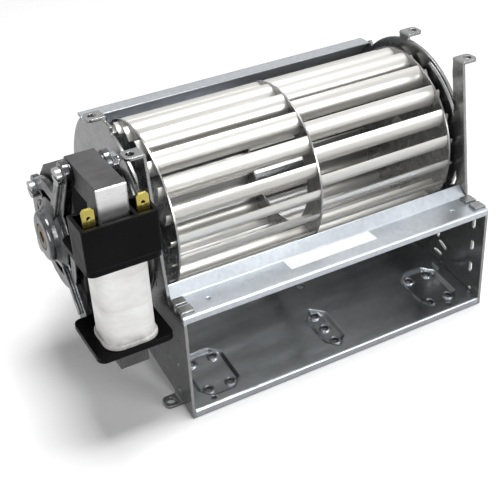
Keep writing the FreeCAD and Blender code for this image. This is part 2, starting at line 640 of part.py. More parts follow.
def make_wheel():
    left_start = WHEEL_START + " + Sizes.disc_gauge"
    right_start = WHEEL_START + " + (Sizes.wheel_length + Sizes.disc_gauge) / 2"
    make_blades("left_blades", left_start, 0.0, -1)
    make_blades("right_blades", right_start, size["blade_stagger"], 1)
    for label, place, turn in (("left_end_disc", WHEEL_START, 0.0),
                               ("right_end_disc", WHEEL_START + " + Sizes.wheel_length - Sizes.disc_gauge",
                                size["blade_stagger"])):
        body = new_body(label)
        rim = axis_sketch(body, "rim", place)
        circle(rim, (0, 0), "Sizes.wheel_diameter")
        circle(rim, (0, 0), "Sizes.axle_diameter * 2")
        pad(body, rim, "rim_pad", "Sizes.disc_gauge")
        slot = axis_sketch(body, "slot", place)
        low = (1 - size["tab_share"]) / 2 - 0.02
        blade_section(slot, low, 1 - low, size["blade_gauge"] + 0.1, turn)
        cut = pocket(body, slot, "slot_cut", "2 * Sizes.disc_gauge", forward=True)
        circular_pattern(body, [cut], rim, int(size["blade_count"]), "slot_ring")
    middle = new_body("middle_disc")
    ring = axis_sketch(middle, "ring", WHEEL_START + " + (Sizes.wheel_length - Sizes.disc_gauge) / 2")
    circle(ring, (0, 0), "Sizes.wheel_diameter")
    circle(ring, (0, 0), "Sizes.middle_disc_bore")
    pad(middle, ring, "ring_pad", "Sizes.disc_gauge")


def turned_part(label, name, *points):
    """A turned piece from its half section: distance along X, radius."""
    body = new_body(label)
    half = turned_sketch(body, name)
    outline(half, *points)
    revolve(body, half, name + "_turned")
    return body


def make_shafts():
    shaft = size["axle_diameter"] / 2
    hub = size["hub_diameter"] / 2
    spigot = size["axle_diameter"] - 0.03
    disc = size["disc_gauge"]
    break_edge = 0.15 * shaft
    outer_end = outer_face - 0.5 * size["bracket_hub_rise"]
    turned_part("motor_shaft", "half_section", (outer_end, 0), (outer_end, shaft - break_edge),
                (outer_end + break_edge, shaft), (wheel_start + disc, shaft), (wheel_start + disc, 0))
    flange = 0.2 * size["hub_length"]
    hub_body = turned_part("drive_hub", "half_section", (wheel_start - size["hub_length"], shaft),
                           (wheel_start - size["hub_length"], hub * 0.8), (wheel_start - flange, hub * 0.8),
                           (wheel_start - flange, hub), (wheel_start, hub), (wheel_start, spigot),
                           (wheel_start + disc, spigot), (wheel_start + disc, shaft))
    place = "%s - 0.6 * Sizes.hub_length" % WHEEL_START
    top = "Sizes.axis_height + Sizes.hub_diameter"
    hole = place_sketch(hub_body, "grub_hole", "XY_Plane", place, "Sizes.axis_depth", top)
    circle(hole, (0, 0), "0.6 * Sizes.axle_diameter + 0.1")
    pocket(hub_body, hole, "grub_hole_cut", "Sizes.hub_diameter")
    grub = new_body("grub_screw")
    seat = place_sketch(grub, "grub", "XY_Plane", place, "Sizes.axis_depth",
                        "Sizes.axis_height + Sizes.axle_diameter / 2")
    circle(seat, (0, 0), "0.6 * Sizes.axle_diameter")
    pad(grub, seat, "grub_pad", "0.42 * Sizes.hub_diameter - Sizes.axle_diameter / 2")
    cap = axle_cap = half_width + size["bush_length"] * 0.9
    boss = 0.18 * size["hub_length"]
    turned_part("stub_axle", "half_section", (wheel_end - disc, 0), (wheel_end - disc, spigot),
                (wheel_end, spigot), (wheel_end, hub * 0.8), (wheel_end + boss, hub * 0.8), (wheel_end + boss, shaft),
                (axle_cap - break_edge, shaft), (cap, shaft - break_edge), (cap, 0))


def make_right_bearing():
    bore = size["axle_diameter"] / 2 + size["bush_clearance"]
    bush = size["bush_diameter"] / 2
    seat = size["grommet_diameter"] / 2
    lip = size["grommet_lip"]
    play = 0.05
    edge = 0.18 * bush
    start = half_width - gauge / 2 - size["bush_length"] / 2
    stop = start + size["bush_length"]
    turned_part("right_bush", "half_section", (start, bore), (start, bush - edge), (start + edge, bush),
                (stop - edge, bush), (stop, bush - edge), (stop, bore))
    turned_part("bearing_grommet", "half_section", (start + edge, bush), (start + edge, seat + lip),
                (inner_half - play, seat + lip), (inner_half - play, seat - play),
                (half_width + play, seat - play), (half_width + play, seat + lip),
                (stop - edge, seat + lip / 2), (stop - edge, bush))


def screw_places():
    """The four long motor screws, by depth and height."""
    front = size["front_screw_depth"]
    rear = size["rear_screw_depth"]
    half_arm = size["arm_height"] / 2
    half_rear = size["rear_screw_spacing"] / 2
    return [("front_upper", (front, size["stack_top"] - half_arm)),
            ("front_lower", (front, size["stack_bottom"] + half_arm)),
            ("rear_upper", (rear, axis_z + half_rear)), ("rear_lower", (rear, axis_z - half_rear))]


def make_stator():
    """The stator with its coil limb, shading rings and rotor."""
    top = size["stack_top"]
    bottom = size["stack_bottom"]
    front = size["stack_front"]
    limb_back = front + size["limb_depth"]
    arm = size["arm_height"]
    flat = front + size["arm_flat"]
    pole = size["pole_front"]
    rear = size["pole_rear"]
    half_pole = size["pole_height"] / 2
    cut = size["pole_cut"]
    knee = flat + 0.8 * (top - axis_z - half_pole)
    soft = 0.3 * arm
    left = "-Sizes.housing_width / 2 - Sizes.motor_offset - Sizes.stack_thickness / 2"
    core = new_body("stator_core")
    shape = side_sketch(core, "lamination", left)
    outline(shape, (limb_back, top), (flat, top), (knee, axis_z + half_pole), (rear - cut, axis_z + half_pole),
            (rear, axis_z + half_pole - cut), (rear, axis_z - half_pole + cut), (rear - cut, axis_z - half_pole),
            (knee, axis_z - half_pole), (flat, bottom), (limb_back, bottom), (limb_back, bottom + arm),
            (pole - soft, bottom + arm), (pole, bottom + arm + soft), (pole, top - arm - soft),
            (pole - soft, top - arm), (limb_back, top - arm))
    pad(core, shape, "lamination_pad", "Sizes.stack_thickness")
    bore = side_sketch(core, "rotor_bore", left)
    circle(bore, AXIS, "Sizes.rotor_diameter + 2 * Sizes.air_gap")
    for name, place in screw_places():
        circle(bore, place, "Sizes.screw_size + 0.2")
    bar = size["shading_bar"]
    ring_reach = size["rotor_diameter"] / 2 + 3 * bar
    legs = {}
    for name, way in (("upper", 1), ("lower", -1)):
        height = axis_z + way * ring_reach
        legs[name] = [(axis_y - way * share * bar, height) for share in (1.0, 5.0)]
        for leg in legs[name]:
            slack = bar / 2 + 0.1
            box_outline(bore, (leg[0] - slack, leg[1] - slack), (leg[0] + slack, leg[1] + slack))
    pocket(core, bore, "rotor_bore_cut", "2 * Sizes.stack_thickness", forward=True)
    limb = new_body("coil_limb")
    post = side_sketch(limb, "post", left)
    box_outline(post, (front, bottom), (limb_back, top))
    pad(limb, post, "post_pad", "Sizes.stack_thickness")

    rings = new_body("shading_rings", several=True)
    for name, pair in legs.items():
        low = min(pair[0][0], pair[1][0]) - bar / 2
        high = max(pair[0][0], pair[1][0]) + bar / 2
        through = side_sketch(rings, name + "_legs", "%s - 0.4 * Sizes.shading_bar" % left)
        for leg in pair:
            box_outline(through, (leg[0] - bar / 2, leg[1] - bar / 2), (leg[0] + bar / 2, leg[1] + bar / 2))
        pad(rings, through, name + "_legs_pad", "Sizes.stack_thickness + 0.8 * Sizes.shading_bar")
        for end, place in (("near", "%s - 0.4 * Sizes.shading_bar" % left), ("far", "%s + Sizes.stack_thickness" % left)):
            tie = side_sketch(rings, name + "_" + end, place)
            box_outline(tie, (low, pair[0][1] - bar / 2), (high, pair[0][1] + bar / 2))
            pad(rings, tie, name + "_" + end + "_pad", "0.4 * Sizes.shading_bar")

    radius = size["rotor_diameter"] / 2
    shaft = size["axle_diameter"] / 2
    over = size["rotor_overhang"]
    cage = 0.92 * radius
    turned_part("motor_rotor", "half_section", (stack_left - over, shaft), (stack_left - over, cage),
                (stack_left, cage), (stack_left, radius), (stack_right, radius),
                (stack_right, cage), (stack_right + over, cage), (stack_right + over, shaft))
    washers = new_body("thrust_washers", several=True)
    for name, place in (("left", stack_left - over - size["washer_gauge"]), ("right", stack_right + over)):
        disc = side_sketch(washers, name + "_washer", "%f" % place)
        circle(disc, AXIS, "2 * Sizes.axle_diameter")
        circle(disc, AXIS, "Sizes.axle_diameter")
        pad(washers, disc, name + "_washer_pad", "Sizes.washer_gauge")


def make_fasteners():
    """Long motor screws with nuts, and the screws and spacers to the end plate."""
    screws = new_body("motor_screws", several=True)
    nuts = new_body("motor_nuts", several=True)
    head = 0.65 * size["screw_size"]
    nut = 0.8 * size["screw_size"]
    for name, place in screw_places():
        shank = side_sketch(screws, name + "_shank", "%f" % outer_face)
        circle(shank, place, "Sizes.screw_size")
        pad(screws, shank, name + "_shank_pad", "%f" % (inner_face - outer_face + nut + 0.3 * head))
        cap = side_sketch(screws, name + "_head", "%f" % outer_face)
        circle(cap, place, "1.9 * Sizes.screw_size")
        pad(screws, cap, name + "_head_pad", "%f" % head, backward=True)
        slit = side_sketch(screws, name + "_slit", "%f" % (outer_face - head))
        reach = 1.1 * size["screw_size"]
        width = 0.13 * size["screw_size"]
        outline(slit, (place[0] - reach, place[1] - width), (place[0] + reach, place[1] - width),
                (place[0] + reach, place[1] + width), (place[0] - reach, place[1] + width))
        pocket(screws, slit, name + "_slit_cut", "%f" % (head * 0.5), forward=True)
        hexagon = side_sketch(nuts, name + "_hexagon", "%f" % inner_face)
        corners = [on_circle(place, 0.92 * size["screw_size"], 60 * k) for k in range(6)]
        outline(hexagon, corners[0], *corners[1:])
        circle(hexagon, place, "Sizes.screw_size")
        pad(nuts, hexagon, name + "_nut_pad", "%f" % nut)
    spacers = new_body("motor_spacers", several=True)
    holders = new_body("plate_screws", several=True)
    for name, way in (("upper", 1), ("lower", -1)):
        place = (axis_y, axis_z + way * size["plate_screw_spacing"] / 2)
        tube = side_sketch(spacers, name + "_tube", "%f" % inner_face)
        circle(tube, place, "2.3 * Sizes.screw_size")
        circle(tube, place, "Sizes.screw_size + 0.2")
        pad(spacers, tube, name + "_tube_pad", "%f" % (-half_width - inner_face))
        shank = side_sketch(holders, name + "_shank", "%f" % (inner_face - size["bracket_gauge"]))
        circle(shank, place, "Sizes.screw_size")
        pad(holders, shank, name + "_shank_pad", "%f" % (-inner_half - inner_face + size["bracket_gauge"]))
        cap = side_sketch(holders, name + "_cap", "%f" % -inner_half)
        circle(cap, place, "1.9 * Sizes.screw_size")
        pad(holders, cap, name + "_cap_pad", "%f" % (0.6 * head))


def make_bracket(label, side, face):
    """A die-cast bearing bracket: hub, ring, four arms with screw ears."""
    body = new_body(label)
    lift = size["bracket_standoff"]
    thick = size["bracket_gauge"]
    plate_low = face + lift if side > 0 else face - lift - thick
    ear = 1.5 * size["screw_size"]
    hub = size["bracket_hub"] / 2
    rise = size["bracket_hub_rise"]
    ring = side_sketch(body, "ring", "%f" % plate_low)
    circle(ring, AXIS, "Sizes.bracket_ring")
    circle(ring, AXIS, "Sizes.bracket_ring - 2 * Sizes.bracket_ring_width")
    pad(body, ring, "ring_pad", "Sizes.bracket_gauge")
    for name, place in screw_places():
        across = FreeCAD.Vector(place[0] - axis_y, place[1] - axis_z, 0)
        along = FreeCAD.Vector(across.x, across.y, 0).normalize()
        normal = FreeCAD.Vector(-along.y, along.x, 0)
        root = FreeCAD.Vector(axis_y, axis_z, 0)
        tip = FreeCAD.Vector(place[0], place[1], 0)
        arm = side_sketch(body, name + "_arm", "%f" % plate_low)
        wide = 0.62 * hub
        narrow = 0.85 * ear
        points = [root + normal * wide, root - normal * wide, tip - normal * narrow, tip + along * ear,
                  tip + normal * narrow]
        flat = [(p.x, p.y) for p in points]
        outline(arm, flat[0], flat[1], flat[2], (flat[3], flat[4]))
        pad(body, arm, name + "_arm_pad", "Sizes.bracket_gauge")
        boss = side_sketch(body, name + "_boss", "%f" % (face if side > 0 else face - lift))
        circle(boss, place, "2.6 * Sizes.screw_size")
        pad(body, boss, name + "_boss_pad", "Sizes.bracket_standoff")
        rib = side_sketch(body, name + "_rib", "%f" % (plate_low + thick if side > 0 else plate_low))
        slim = 0.1 * hub
        near_hub = root + along * hub * 0.8
        near_ear = tip - along * ear
        points = [near_hub + normal * slim, near_hub - normal * slim, near_ear - normal * slim,
                  near_ear + normal * slim]
        flat = [(p.x, p.y) for p in points]
        outline(rib, flat[0], *flat[1:])
        pad(body, rib, name + "_rib_pad", "0.5 * Sizes.bracket_gauge", backward=side < 0)
    start = plate_low if side > 0 else plate_low + thick
    nose = turned_sketch(body, "hub")
    bore = size["bush_diameter"] / 4
    outline(nose, (start, bore), (start, hub * 1.45), (start + side * thick, hub * 1.45),
            (start + side * (thick + 0.25 * rise), hub * 1.15), (start + side * (thick + 0.55 * rise), hub),
            (start + side * (thick + rise), hub), (start + side * (thick + rise), bore))
    revolve(body, nose, "hub_turned")
    holes = side_sketch(body, "screw_holes", "%f" % (min(face, plate_low) - 2 * thick))
    for name, place in screw_places():
        circle(holes, place, "Sizes.screw_size + 0.2")
    if side > 0:
        for way in (1, -1):
            circle(holes, (axis_y, axis_z + way * size["plate_screw_spacing"] / 2), "Sizes.screw_size")
    circle(holes, AXIS, "Sizes.bush_diameter")
    pocket(body, holes, "screw_holes_cut", "8 * Sizes.bracket_gauge", forward=True)
    tip_x = plate_low + thick + rise if side > 0 else plate_low - rise

    def hub_edge(edge):
        box = edge.BoundBox
        return box.XLength < 1e-6 and abs(box.XMin - tip_x) < 1e-6 and abs(box.YLength - 2 * hub) < 1e-3

    round_edges(body, "hub_round", "0.35 * Sizes.bracket_hub_rise", hub_edge)
    bush = size["bush_diameter"] / 2
    bore = size["axle_diameter"] / 2 + size["bush_clearance"]
    edge = 0.12 * bush
    if side > 0:
        low = tip_x - size["bush_length"]
    else:
        low = tip_x
    high = low + size["bush_length"]
    turned_part(label.replace("bracket", "bush"), "half_section", (low, bore), (low, bush - edge),
                (low + edge, bush), (high - edge, bush), (high, bush - edge), (high, bore))


def make_bobbin():
    """Moulded bobbin with the terminal box on top, and what it carries."""
    body = new_body("bobbin")
    wall = size["bobbin_wall"]
    play = size["bobbin_play"]
    half_stack = size["stack_thickness"] / 2
    wide = size["bobbin_width"] / 2
    limb_front = size["stack_front"]
    limb_back = limb_front + size["limb_depth"]
    box_front = size["box_front"]
    box_back = box_front + size["box_depth"]

    def level(name, height):
        return place_sketch(body, name, "XY_Plane", "-Sizes.housing_width / 2 - Sizes.motor_offset", out="%f" % height)

    def flange(name, height, half, rear):
        front = size["flange_front"]
        corner = size["flange_corner"]
        nick = corner * (1 - math.sqrt(0.5))
        sketch = level(name, height)
        outline(sketch, (-half + corner, front), (half - corner, front), ((half - nick, front + nick), (half, front + corner)),
                (half, rear - corner), ((half - nick, rear - nick), (half - corner, rear)), (-half + corner, rear),
                ((-half + nick, rear - nick), (-half, rear - corner)), (-half, front + corner),
                ((-half + nick, front + nick), (-half + corner, front)))
        pad(body, sketch, name + "_pad", "Sizes.flange_gauge")

    rear = size["flange_front"] + size["flange_depth"]
    flange("lower_flange", flange_low, size["flange_width"] / 2, rear)
    tube = level("tube", flange_low)
    box_outline(tube, (-half_stack - wall, limb_front - wall), (half_stack + wall, limb_back + wall))
    pad(body, tube, "tube_pad", "%f" % (box_low - flange_low + wall))
    flange("upper_flange", box_low - size["flange_gauge"], wide, rear)
    box = level("terminal_box", box_low)
    box_outline(box, (-wide, box_front), (wide, box_back))
    pad(body, box, "terminal_box_pad", "Sizes.box_height")
    rooms = level("rooms", size["box_top"])
    for low, high in ((-wide + wall, -half_stack - wall), (half_stack + wall, wide - wall)):
        box_outline(rooms, (low, box_front + wall), (high, box_back - wall))
    pocket(body, rooms, "rooms_cut", "Sizes.box_height - 1.5 * Sizes.bobbin_wall")
    front_room = level("front_room", size["box_top"])
    box_outline(front_room, (-half_stack - play, box_front + wall), (half_stack + play, limb_front))
    pocket(body, front_room, "front_room_cut", "0.6 * Sizes.box_height")
    hollow = level("limb_passage", size["box_top"] + play)
    box_outline(hollow, (-half_stack - play, limb_front - play), (half_stack + play, limb_back + play))
    pocket(body, hollow, "limb_passage_cut", "Sizes.box_top")

    def box_corner(edge):
        area = edge.BoundBox
        upright = area.XLength < 1e-6 and area.YLength < 1e-6
        return upright and area.ZMax > box_low + 1 and abs(area.YMin - box_front) < 1e-6

    round_edges(body, "box_corners", "0.7 * Sizes.bobbin_wall", box_corner)

    coil = new_body("winding")
    ring = place_sketch(coil, "ring", "XY_Plane", "-Sizes.housing_width / 2 - Sizes.motor_offset", "%f" % limb_y,
                        "%f" % flange_top)

    def taped(sketch, spread):
        cw = size["coil_width"] / 2 + spread
        cd = size["coil_depth"] / 2 + spread
        soft = size["coil_corner"] + spread
        bow = soft * (1 - math.sqrt(0.5))
        outline(sketch, (-cw + soft, -cd), (cw - soft, -cd), ((cw - bow, -cd + bow), (cw, -cd + soft)),
                (cw, cd - soft), ((cw - bow, cd - bow), (cw - soft, cd)), (-cw + soft, cd),
                ((-cw + bow, cd - bow), (-cw, cd - soft)), (-cw, -cd + soft),
                ((-cw + bow, -cd + bow), (-cw + soft, -cd)))
        box_outline(sketch, (-half_stack - wall, -size["limb_depth"] / 2 - wall),
                    (half_stack + wall, size["limb_depth"] / 2 + wall))

    taped(ring, 0)
    pad(coil, ring, "ring_pad", "%f" % (box_low - size["flange_gauge"] - flange_top))
    foot = place_sketch(coil, "foot", "XY_Plane", "-Sizes.housing_width / 2 - Sizes.motor_offset", "%f" % limb_y,
                        "%f" % flange_top)
    taped(foot, size["coil_flare"])
    pad(coil, foot, "foot_pad", "2 * Sizes.coil_flare")
    rim = flange_top + 2 * size["coil_flare"]

    def foot_edge(edge):
        area = edge.BoundBox
        level_there = area.ZLength < 1e-6 and abs(area.ZMin - rim) < 1e-6
        half_x = size["coil_width"] / 2 + size["coil_flare"]
        half_y = size["coil_depth"] / 2 + size["coil_flare"]
        slack = size["coil_flare"] / 2
        return level_there and (max(abs(area.XMin - motor_x), abs(area.XMax - motor_x)) > half_x - slack
                                or max(abs(area.YMin - limb_y), abs(area.YMax - limb_y)) > half_y - slack)

    round_edges(coil, "foot_round", "0.8 * Sizes.coil_flare", foot_edge)

    for name, side in (("left_terminal", -1), ("right_terminal", 1)):
        blade = new_body(name)
        centre = side * (wide + half_stack) / 2
        depth = box_front + 2.2 * wall + size["terminal_gauge"]
        face = place_sketch(blade, "spade", "XZ_Plane", "%f" % (motor_x + centre), out="%f" % -depth)
        half = size["terminal_width"] / 2
        foot = box_low + 1.5 * wall
        tip = size["box_top"] + size["terminal_rise"]
        slant = 0.2 * size["terminal_width"]
        outline(face, (-half, foot), (half, foot), (half, tip - slant), (half - slant, tip), (-half + slant, tip),
                (-half, tip - slant))
        circle(face, (0, tip - 0.8 * size["terminal_width"]), "1.6 * Sizes.terminal_gauge")
        pad(blade, face, "spade_pad", "Sizes.terminal_gauge")


make_end_plates()
make_scroll()
make_shelf()
make_wheel()
make_shafts()
make_right_bearing()
make_stator()
make_bracket("outer_bracket", -1, stack_left)
make_bracket("inner_bracket", 1, stack_right)
make_fasteners()
make_bobbin()
doc.recompute()

faults = [item.Name for item in doc.Objects if set(item.State) & {"Invalid", "Error"}]
for body in finished:
    if body.Shape.isNull() or not body.Shape.isValid():
        faults.append(body.Label)
if faults:
    raise SystemExit("failed objects: " + ", ".join(faults))

os.makedirs("parts", exist_ok=True)
for body in finished:
    body.Shape.exportStep(os.path.join("parts", body.Label + ".step"))
    box = body.Shape.BoundBox
    print("%-18s solids %2d volume %8.1f  x %.1f..%.1f y %.1f..%.1f z %.1f..%.1f" % (
        body.Label, len(body.Shape.Solids), body.Shape.Volume, box.XMin, box.XMax, box.YMin, box.YMax,
        box.ZMin, box.ZMax))
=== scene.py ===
import json
import math

import bmesh
import bpy
from mathutils import Matrix, Vector


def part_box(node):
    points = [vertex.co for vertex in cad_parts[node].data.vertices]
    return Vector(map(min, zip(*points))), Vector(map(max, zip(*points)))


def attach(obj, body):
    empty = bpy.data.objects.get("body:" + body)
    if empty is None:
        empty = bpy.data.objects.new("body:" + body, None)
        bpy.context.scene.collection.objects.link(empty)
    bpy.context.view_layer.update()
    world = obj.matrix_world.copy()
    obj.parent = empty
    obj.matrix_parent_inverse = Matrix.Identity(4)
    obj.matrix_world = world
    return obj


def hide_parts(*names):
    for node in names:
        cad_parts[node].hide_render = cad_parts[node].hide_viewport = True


MM = 0.001

bpy.ops.wm.read_factory_settings(use_empty=True)
scene = bpy.context.scene
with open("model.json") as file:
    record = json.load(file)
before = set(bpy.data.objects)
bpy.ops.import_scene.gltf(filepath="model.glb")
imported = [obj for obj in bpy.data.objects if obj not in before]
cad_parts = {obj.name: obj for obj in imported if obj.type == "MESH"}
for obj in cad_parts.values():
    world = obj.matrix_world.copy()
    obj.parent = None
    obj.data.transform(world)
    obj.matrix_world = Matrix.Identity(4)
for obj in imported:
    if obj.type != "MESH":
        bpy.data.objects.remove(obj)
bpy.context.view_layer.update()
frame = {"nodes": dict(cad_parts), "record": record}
nodes = frame["nodes"]


# Material nodes
class Look:
    """A procedural node material on Object coordinates, in metres of the part's frame."""

    SOCKETS = {"color": "Base Color", "metal": "Metallic", "rough": "Roughness", "normal": "Normal",
               "specular": "Specular IOR Level"}
    SHARP = 0.02 * MM
    EDGE_SAMPLES = 8

    def __init__(self, name):
        self.name = name
        self.material = bpy.data.materials.new(name)
        self.material.use_nodes = True
        self.tree = self.material.node_tree
        self.shader = self.tree.nodes["Principled BSDF"]
        self.place = self.tree.nodes.new("ShaderNodeTexCoord").outputs["Object"]

    def link(self, source, target):
        self.tree.links.new(source, target)

    def feed(self, socket, value):
        """Links a node's output to the socket, or sets a plain number or colour on it."""
        if hasattr(value, "is_linked"):
            self.link(value, socket)
        elif isinstance(value, tuple):
            socket.default_value = (*value, 1)
        else:
            socket.default_value = value

    def noise(self, scale, detail, roughness, stretch=(1, 1, 1)):
        """Cloudy grey levels, drawn out along the axes whose stretch is below 1."""
        mapping = self.tree.nodes.new("ShaderNodeMapping")
        mapping.inputs["Scale"].default_value = stretch
        self.link(self.place, mapping.inputs["Vector"])
        node = self.tree.nodes.new("ShaderNodeTexNoise")
        node.inputs["Scale"].default_value = scale
        node.inputs["Detail"].default_value = detail
        node.inputs["Roughness"].default_value = roughness
        self.link(mapping.outputs["Vector"], node.inputs["Vector"])
        return node.outputs["Fac"]

    def cells(self, scale):
        """Crystals of one even tone each."""
        node = self.tree.nodes.new("ShaderNodeTexVoronoi")
        node.inputs["Scale"].default_value = scale
        self.link(self.place, node.inputs["Vector"])
        return node.outputs["Color"]

    def waves(self, axis, scale, profile="SIN", distortion=0.0):
        """Bands one after another along an axis."""
        node = self.tree.nodes.new("ShaderNodeTexWave")
        node.wave_type = "BANDS"
        node.bands_direction = axis
        node.wave_profile = profile
        node.inputs["Scale"].default_value = scale
        node.inputs["Distortion"].default_value = distortion
        self.link(self.place, node.inputs["Vector"])
        return node.outputs["Fac"]

    def beyond(self, axis, level, soft=SHARP):
        """0 below a place on the axis and 1 above it."""
        split = self.tree.nodes.new("ShaderNodeSeparateXYZ")
        self.link(self.place, split.inputs[0])
        node = self.tree.nodes.new("ShaderNodeMapRange")
        node.inputs["From Min"].default_value = level - soft
        node.inputs["From Max"].default_value = level + soft
        self.link(split.outputs[axis], node.inputs["Value"])
        return node.outputs["Result"]

    def ramp(self, source, first, last, low=0.3, high=0.7):
        """Maps a source that runs from low to high to the colours or grey levels first to last."""
        node = self.tree.nodes.new("ShaderNodeValToRGB")
        for element, position, level in zip(node.color_ramp.elements, (low, high), (first, last)):
            element.position = position
            element.color = (*level, 1) if isinstance(level, tuple) else (level, level, level, 1)
        self.link(source, node.inputs["Fac"])
        return node.outputs["Color"]

    def mixed(self, kind, factor, one, two):
        """Two colours blended by a factor."""
        node = self.tree.nodes.new("ShaderNodeMix")
        node.data_type = "RGBA"
        node.blend_type = kind
        node.clamp_result = True
        factor_socket, first_colour, second_colour = node.inputs[0], node.inputs[6], node.inputs[7]
        self.feed(factor_socket, factor)
        self.feed(first_colour, one)
        self.feed(second_colour, two)
        return node.outputs[2]

    def bump(self, height, strength, distance, after=None):
        """Fine relief, on top of the normals that after gives."""
        node = self.tree.nodes.new("ShaderNodeBump")
        node.inputs["Strength"].default_value = strength
        node.inputs["Distance"].default_value = distance
        self.link(height, node.inputs["Height"])
        if after is not None:
            self.link(after, node.inputs["Normal"])
        return node.outputs["Normal"]

    def rounded(self, radius):
        """Normals that turn softly over the edges of the bare CAD mesh."""
        node = self.tree.nodes.new("ShaderNodeBevel")
        node.samples = self.EDGE_SAMPLES
        node.inputs["Radius"].default_value = radius
        return node.outputs["Normal"]

    def set(self, **values):
        """Sets or links the shader's sockets, and gives the finish's name and its material."""
        for key, value in values.items():
            self.feed(self.shader.inputs[self.SOCKETS[key]], value)
        return self.name, self.material


# Finishes
def zinc_sheet(name, low, high, rough, round_edge, painted_light_above=None):
    """Galvanised sheet with its spangle, and less metallic above a height where one is given: painted light
    that shows the top lighter.
    """
    full_metal, painted_light_metal, painted_light_soft = 0.9, 0.45, 8 * MM
    look = Look(name)
    spangle = look.ramp(look.cells(700), low, high, 0.1, 0.9)
    cloud = look.ramp(look.noise(30, 4, 0.65, (0.35, 1, 1)), (0.86, 0.87, 0.88), (1, 1, 1), 0.3, 0.75)
    metal = full_metal
    # Painted light: above the height the sheet is less metallic, so the top of the wall shows lighter under
    # the lamps.
    if painted_light_above is not None:
        metal = look.ramp(look.beyond("Z", painted_light_above, painted_light_soft), full_metal, painted_light_metal, 0.0, 1.0)
    return look.set(color=look.mixed("MULTIPLY", 1.0, spangle, cloud),
                    metal=metal,
                    rough=look.ramp(look.noise(75, 3, 0.6, (0.3, 1, 1)), *rough),
                    normal=look.bump(look.noise(380, 2, 0.5), 0.05, 0.2 * MM, look.rounded(round_edge)))


def blade_strip():
    """Bright aluminium strip with streaks from its rolling, along the wheel."""
    look = Look("blade_aluminium")
    streaks = look.noise(60, 2, 0.5, (0.08, 1, 1))
    fine_streaks = look.noise(150, 2, 0.5, (0.05, 1, 1))
    return look.set(color=look.ramp(streaks, (0.57, 0.56, 0.53), (0.72, 0.71, 0.685)),
                    metal=0.68,
                    rough=look.ramp(fine_streaks, 0.24, 0.38))


def bare_metal(name, low, high, rough, metal=0.9, grain=200, depth=0.0, round_edge=0.12 * MM):
    """Steel, brass, copper, bronze or a casting: cloudy in tone, and pitted where a depth is given."""
    look = Look(name)
    normal = look.rounded(round_edge)
    if depth:
        normal = look.bump(look.noise(grain * 2.5, 3, 0.6), 0.5, depth, normal)
    return look.set(color=look.ramp(look.noise(grain, 3, 0.6), low, high),
                    metal=metal,
                    rough=look.ramp(look.noise(grain * 1.7, 2, 0.5), *rough),
                    normal=normal)


def lacquered_stack(name, bare_front=None):
    """Stacked sheets under dark lacquer, with a bare bright face before a place where one is given."""
    lacquer_metal, bare_metal_share, bare_above = 0.2, 0.9, 60 * MM
    look = Look(name)
    sheets = look.waves("X", 628)
    dark = look.ramp(look.noise(120, 3, 0.6), (0.042, 0.040, 0.042), (0.082, 0.079, 0.082))
    shade = look.ramp(sheets, (0.72, 0.72, 0.73), (1, 1, 1), 0.05, 0.5)
    lacquer = look.mixed("MULTIPLY", 0.6, dark, shade)
    rough = look.ramp(look.noise(260, 2, 0.5), 0.40, 0.56)
    if bare_front is None:
        return look.set(color=lacquer, metal=lacquer_metal, rough=rough,
                        normal=look.bump(sheets, 0.25, 0.05 * MM, look.rounded(0.5 * MM)))
    shown = look.tree.nodes.new("ShaderNodeMath")
    shown.operation = "SUBTRACT"
    shown.use_clamp = True
    look.link(look.beyond("Z", bare_above), shown.inputs[0])
    look.link(look.beyond("Y", bare_front), shown.inputs[1])
    bare = shown.outputs[0]
    bright = look.ramp(look.noise(160, 3, 0.6), (0.66, 0.66, 0.665), (0.82, 0.82, 0.82))
    worn = look.mixed("MULTIPLY", 0.15, bright, shade)
    brushed = look.ramp(look.noise(300, 2, 0.5, (0.1, 1, 1)), 0.24, 0.38)
    return look.set(color=look.mixed("MIX", bare, lacquer, worn),
                    metal=look.ramp(bare, lacquer_metal, bare_metal_share, 0.0, 1.0),
                    rough=look.mixed("MIX", bare, rough, brushed),
                    normal=look.bump(sheets, 0.12, 0.03 * MM, look.rounded(0.9 * MM)))


def moulding(name, low, high, rough, specular=0.3):
    """Moulded nylon or rubber with a fine matt grain."""
    look = Look(name)
    return look.set(color=look.ramp(look.noise(45, 2, 0.5), low, high),
                    rough=look.ramp(look.noise(110, 2, 0.5), *rough),
                    specular=specular,
                    normal=look.bump(look.noise(900, 2, 0.5), 0.12, 0.1 * MM, look.rounded(0.4 * MM)))


def winding_tape():
    """White cloth tape wound round the coil, each turn lapping over the last, and grey at its foot."""
    foot_height, foot_soft = 37.8 * MM, 2.2 * MM
    look = Look("white_tape")
    mottle = look.noise(75, 5, 0.65, (0.6, 0.6, 1.4))
    cloth = look.ramp(mottle, (0.70, 0.69, 0.68), (0.89, 0.89, 0.885), 0.32, 0.68)
    weave = look.waves("Z", 700)
    lap = look.waves("Z", 26, "SAW", 1.2)
    crease = look.noise(110, 3, 0.55, (0.5, 0.5, 1.7))
    relief = look.bump(weave, 0.12, 0.04 * MM)
    relief = look.bump(lap, 0.4, 0.3 * MM, relief)
    relief = look.bump(crease, 0.9, 1.4 * MM, relief)
    lap_edge = look.ramp(lap, (0.92, 0.915, 0.91), (1, 1, 1), 0.0, 0.3)
    clean = look.mixed("MULTIPLY", 1.0, cloth, lap_edge)
    # Darker towards the foot of the winding, by a mottled share.
    foot = look.ramp(look.beyond("Z", foot_height, foot_soft), (0.46, 0.445, 0.43), (1, 1, 1), 0.0, 1.0)
    foot_grey_share = look.ramp(look.noise(260, 3, 0.6), 0.15, 0.9, 0.35, 0.65)
    return look.set(color=look.mixed("MULTIPLY", foot_grey_share, clean, foot),
                    rough=look.ramp(look.noise(300, 2, 0.5), 0.6, 0.8),
                    normal=relief)


